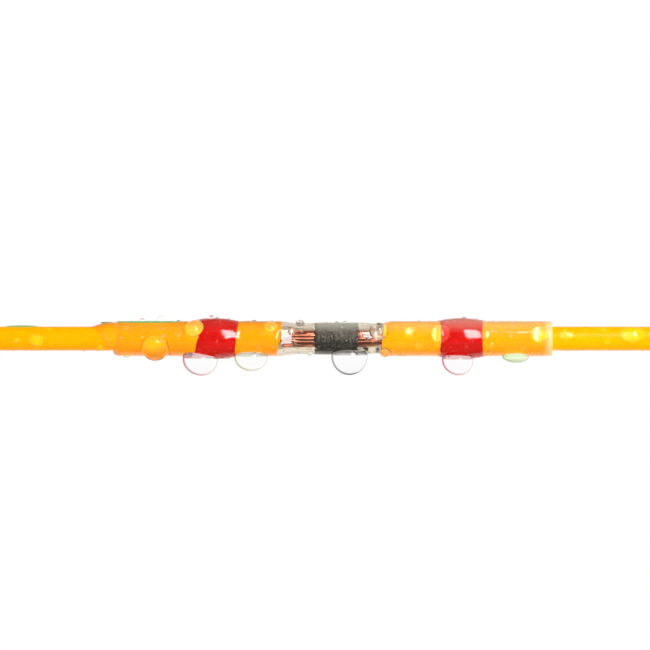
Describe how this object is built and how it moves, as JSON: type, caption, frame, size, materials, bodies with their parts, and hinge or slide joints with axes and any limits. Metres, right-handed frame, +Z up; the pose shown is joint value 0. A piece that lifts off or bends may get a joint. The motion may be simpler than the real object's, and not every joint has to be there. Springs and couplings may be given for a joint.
{
  "type": "solder seal wire connector",
  "caption": "Clear heat-shrink butt connector with a solder ring and red sealing rings, shrunk over the splice of two yellow stranded wires.",
  "frame": {"origin": "middle of the sleeve's length, on the wires' axis", "axes": "+X along the wires towards the right lead, +Z up, -Y towards the side that the picture shows"},
  "size_m": [0.064, 0.0038, 0.0038],
  "materials": {
    "clear_sleeve": "clear recovered polyolefin, slightly hazy",
    "solder": "dull low-melt solder, grainy",
    "red_adhesive": "translucent red hot-melt adhesive",
    "left_insulation": "golden yellow PVC",
    "right_insulation": "yellow PVC",
    "copper": "bare annealed copper"
  },
  "bodies": {
    "root": {"heat_shrink_sleeve": "clear_sleeve", "solder_ring": "solder", "left_sealing_ring": "red_adhesive", "right_sealing_ring": "red_adhesive", "left_insulation": "left_insulation", "right_insulation": "right_insulation", "left_strand_01": "copper", "left_strand_02": "copper", "left_strand_03": "copper", "left_strand_04": "copper", "left_strand_05": "copper", "left_strand_06": "copper", "left_strand_07": "copper", "left_strand_08": "copper", "left_strand_09": "copper", "left_strand_10": "copper", "left_strand_11": "copper", "left_strand_12": "copper", "left_strand_13": "copper", "left_strand_14": "copper", "left_strand_15": "copper", "left_strand_16": "copper", "right_strand_01": "copper", "right_strand_02": "copper", "right_strand_03": "copper", "right_strand_04": "copper", "right_strand_05": "copper", "right_strand_06": "copper", "right_strand_07": "copper", "right_strand_08": "copper", "right_strand_09": "copper", "right_strand_10": "copper", "right_strand_11": "copper", "right_strand_12": "copper", "right_strand_13": "copper", "right_strand_14": "copper", "right_strand_15": "copper", "right_strand_16": "copper"}
  },
  "joints": []
}
